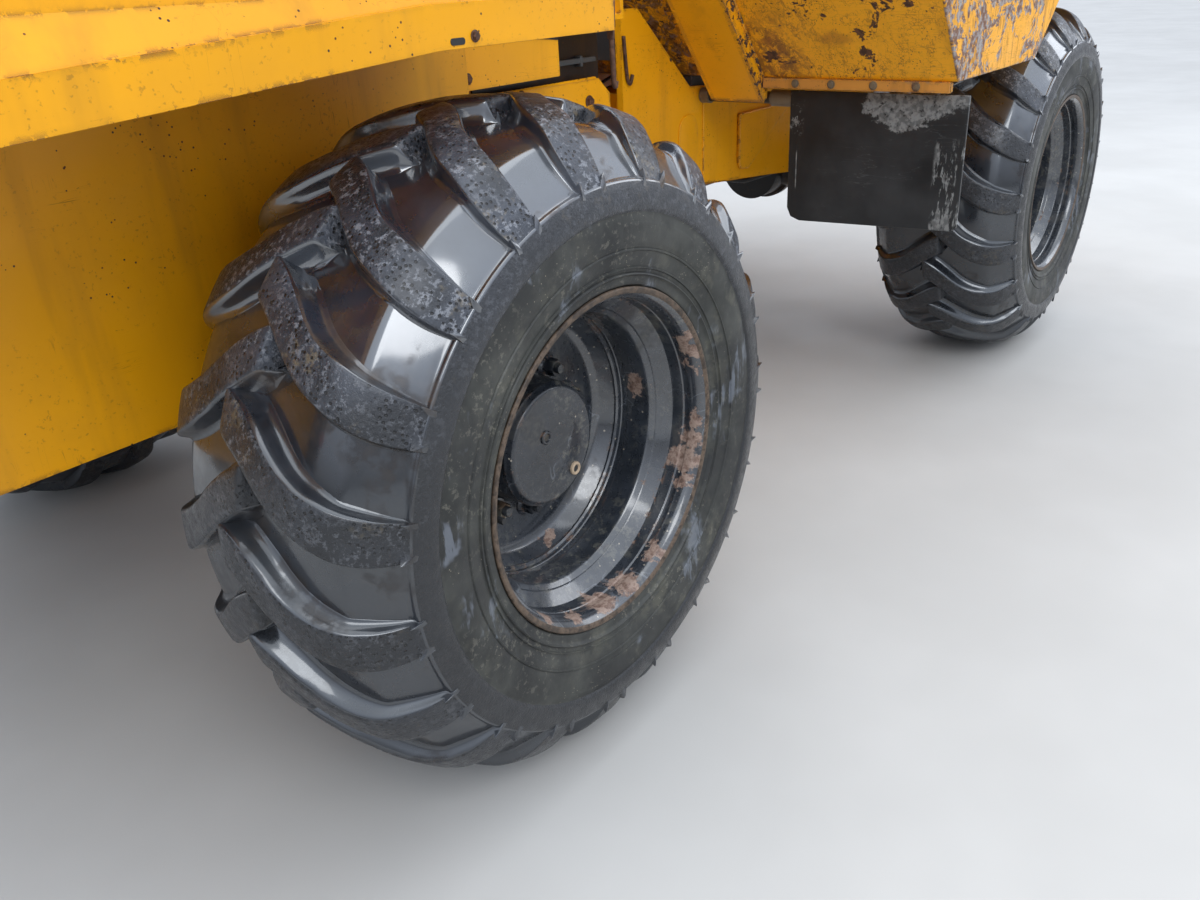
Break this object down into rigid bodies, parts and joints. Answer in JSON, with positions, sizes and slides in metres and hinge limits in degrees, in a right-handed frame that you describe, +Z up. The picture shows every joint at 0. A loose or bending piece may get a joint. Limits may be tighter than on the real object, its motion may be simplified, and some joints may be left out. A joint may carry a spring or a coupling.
{
  "type": "articulated site dumper",
  "caption": "Articulated four-wheel site dumper with a forward-tipping steel skip in front of an open driver's seat, roll bar and rear engine.",
  "frame": {"origin": "ground level under the middle of the machine's box", "axes": "+X the way it drives, +Y its left side, +Z up"},
  "size_m": [4.65, 2.38, 3.3198],
  "materials": {
    "body_paint": "worn amber gloss",
    "rim_black": "chipped black",
    "axle_black": "dusty black",
    "dark_paint": "satin dark grey",
    "engine_grey": "dusty",
    "bare_steel": "worn",
    "rod_chrome": "polished",
    "tyre": "worn black rubber",
    "flap_rubber": "scuffed",
    "seat_vinyl": "grained black vinyl",
    "dark_plastic": "textured",
    "tail_red": "clear red",
    "lamp_housing": "satin",
    "beacon_amber": "clear amber",
    "exhaust_steel": "heat-dulled"
  },
  "bodies": {
    "rear_chassis": {"rear_frame": "body_paint", "rear_axle": "axle_black", "pivot_pin": "bare_steel", "engine_block": "engine_grey", "rear_driveshaft": "axle_black", "right_rear_cover": "body_paint", "left_rear_cover": "body_paint", "engine_bulkhead": "dark_paint", "rear_bumper": "dark_paint", "tow_jaw": "dark_paint", "tail_lamps": "tail_red", "operator_floor": "body_paint", "left_steps": "dark_paint", "seat_base": "dark_paint", "seat_cushion": "seat_vinyl", "seat_back": "seat_vinyl", "dash_column": "dark_plastic", "side_levers": "dark_plastic", "roll_bar": "dark_paint", "beacon": "beacon_amber", "hand_rails": "dark_paint", "exhaust": "exhaust_steel"},
    "front_chassis": {"front_frame": "body_paint", "front_axle": "axle_black", "tip_pins": "bare_steel", "front_driveshaft": "axle_black", "mud_flaps": "flap_rubber", "flap_bars": "dark_paint", "head_lamps": "lamp_housing"},
    "skip": {"skip_shell": "body_paint", "skip_ribs": "body_paint"},
    "bonnet": {"bonnet": "body_paint", "grille": "dark_paint"},
    "steering_wheel": {"steering_wheel": "dark_plastic"},
    "rear_right_wheel": {"rear_right_tyre": "tyre", "rear_right_rim": "rim_black"},
    "rear_left_wheel": {"rear_left_tyre": "tyre", "rear_left_rim": "rim_black"},
    "front_right_wheel": {"front_right_tyre": "tyre", "front_right_rim": "rim_black"},
    "front_left_wheel": {"front_left_tyre": "tyre", "front_left_rim": "rim_black"},
    "right_steer_barrel": {"right_steer_barrel": "dark_paint"},
    "right_steer_rod": {"right_steer_rod": "rod_chrome"},
    "right_tip_barrel": {"right_tip_barrel": "dark_paint"},
    "right_tip_rod": {"right_tip_rod": "rod_chrome"},
    "left_steer_barrel": {"left_steer_barrel": "dark_paint"},
    "left_steer_rod": {"left_steer_rod": "rod_chrome"},
    "left_tip_barrel": {"left_tip_barrel": "dark_paint"},
    "left_tip_rod": {"left_tip_rod": "rod_chrome"}
  },
  "joints": [
    {"name": "articulation", "type": "hinge", "parent": "rear_chassis", "child": "front_chassis", "pos_m": [-0.055, 0, 0.86], "axis": [0, 0, 1], "range_deg": [-30, 30]},
    {"name": "skip_tip", "type": "hinge", "parent": "front_chassis", "child": "skip", "pos_m": [1.575, 0, 0.97], "axis": [0, 1, 0], "range_deg": [0, 55]},
    {"name": "bonnet_hinge", "type": "hinge", "parent": "rear_chassis", "child": "bonnet", "pos_m": [-1.05, 0, 1.728], "axis": [0, 1, 0], "range_deg": [0, 55]},
    {"name": "steering_turn", "type": "hinge", "parent": "rear_chassis", "child": "steering_wheel", "pos_m": [-0.455, 0, 1.81], "axis": [-0.4226, 0, 0.9063], "range_deg": [-540, 540]},
    {"name": "rear_right_spin", "type": "hinge", "parent": "rear_chassis", "child": "rear_right_wheel", "pos_m": [-1.175, -0.95, 0.585], "axis": [0, 1, 0], "continuous": true},
    {"name": "rear_left_spin", "type": "hinge", "parent": "rear_chassis", "child": "rear_left_wheel", "pos_m": [-1.175, 0.95, 0.585], "axis": [0, 1, 0], "continuous": true},
    {"name": "front_right_spin", "type": "hinge", "parent": "front_chassis", "child": "front_right_wheel", "pos_m": [1.413, -0.95, 0.585], "axis": [0, 1, 0], "continuous": true},
    {"name": "front_left_spin", "type": "hinge", "parent": "front_chassis", "child": "front_left_wheel", "pos_m": [1.413, 0.95, 0.585], "axis": [0, 1, 0], "continuous": true},
    {"name": "right_steer_swing", "type": "hinge", "parent": "rear_chassis", "child": "right_steer_barrel", "pos_m": [-0.7, -0.23, 0.86], "axis": [0, 0, 1], "range_deg": [-3.46, 3.46]},
    {"name": "right_steer_slide", "type": "slide", "parent": "right_steer_barrel", "child": "right_steer_rod", "axis": [1, 0, 0], "range_m": [-0.1177, 0.1177]},
    {"name": "right_tip_swing", "type": "hinge", "parent": "front_chassis", "child": "right_tip_barrel", "pos_m": [0.25, -0.205, 0.8], "axis": [0, -1, 0], "range_deg": [0, 19.38]},
    {"name": "right_tip_slide", "type": "slide", "parent": "right_tip_barrel", "child": "right_tip_rod", "axis": [0.9673, 0, 0.2535], "range_m": [0, 0.4541]},
    {"name": "left_steer_swing", "type": "hinge", "parent": "rear_chassis", "child": "left_steer_barrel", "pos_m": [-0.7, 0.23, 0.86], "axis": [0, 0, 1], "range_deg": [-3.46, 3.46]},
    {"name": "left_steer_slide", "type": "slide", "parent": "left_steer_barrel", "child": "left_steer_rod", "axis": [1, 0, 0], "range_m": [-0.1177, 0.1177]},
    {"name": "left_tip_swing", "type": "hinge", "parent": "front_chassis", "child": "left_tip_barrel", "pos_m": [0.25, 0.205, 0.8], "axis": [0, -1, 0], "range_deg": [0, 19.38]},
    {"name": "left_tip_slide", "type": "slide", "parent": "left_tip_barrel", "child": "left_tip_rod", "axis": [0.9673, 0, 0.2535], "range_m": [0, 0.4541]}
  ],
  "couplings": [
    {"joint": "steering_turn", "follows": "articulation", "ratio": 18},
    {"joint": "right_steer_swing", "follows": "articulation", "ratio": 0.11212},
    {"joint": "right_steer_slide", "follows": "articulation", "m_per_rad": 0.22283},
    {"joint": "right_tip_swing", "follows": "skip_tip", "ratio": 0.35141},
    {"joint": "right_tip_slide", "follows": "skip_tip", "m_per_rad": 0.47251},
    {"joint": "left_steer_swing", "follows": "articulation", "ratio": 0.11212},
    {"joint": "left_steer_slide", "follows": "articulation", "m_per_rad": -0.22283},
    {"joint": "left_tip_swing", "follows": "skip_tip", "ratio": 0.35141},
    {"joint": "left_tip_slide", "follows": "skip_tip", "m_per_rad": 0.47251}
  ]
}
